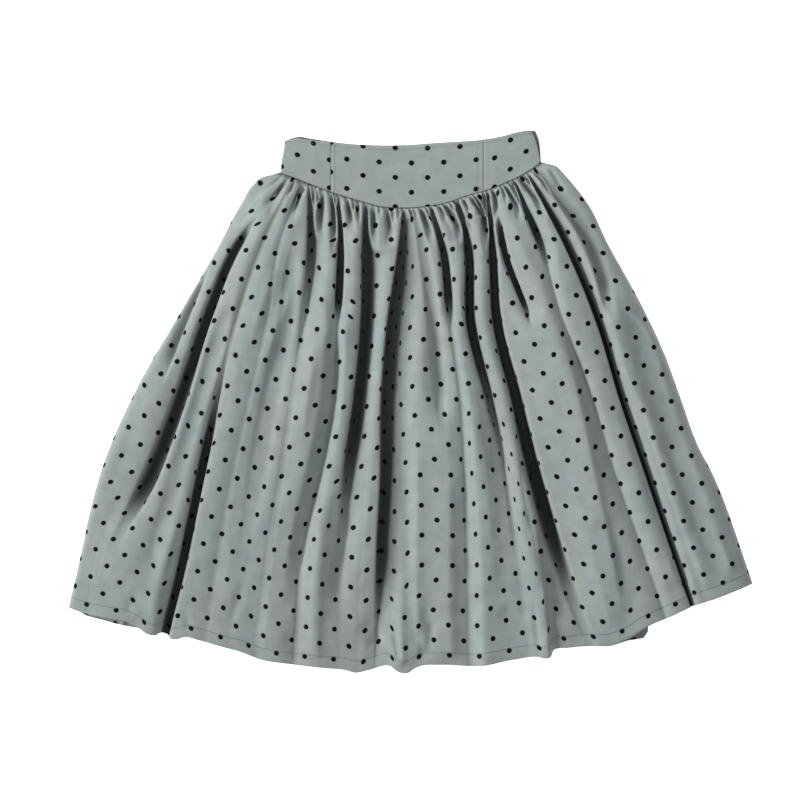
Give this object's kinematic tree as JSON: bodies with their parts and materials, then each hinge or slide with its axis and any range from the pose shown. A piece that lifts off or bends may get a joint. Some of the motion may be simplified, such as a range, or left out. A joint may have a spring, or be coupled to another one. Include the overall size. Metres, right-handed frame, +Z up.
{
  "type": "skirt",
  "caption": "Gathered A-line skirt in sage green cloth with small black dots, a shaped seamed yoke and a turned-up hem, laid flat.",
  "frame": {"origin": "the middle of the skirt's outline, on the surface that it lies on", "axes": "+X runs across the skirt, to the right of someone who looks down on it with the waist away from them; +Y points from the hem to the waist; +Z is up out of the front"},
  "size_m": [0.8874, 0.7039, 0.0286],
  "materials": {
    "cloth": "soft satin-like weave, sage green with small black dots",
    "yoke_cloth": "the same cloth, stiffened and pressed flat"
  },
  "bodies": {
    "root": {"skirt_back": "cloth", "skirt_front": "cloth", "yoke_back": "yoke_cloth", "yoke_front_centre": "yoke_cloth", "yoke_front_left": "yoke_cloth", "yoke_front_right": "yoke_cloth"}
  },
  "joints": []
}
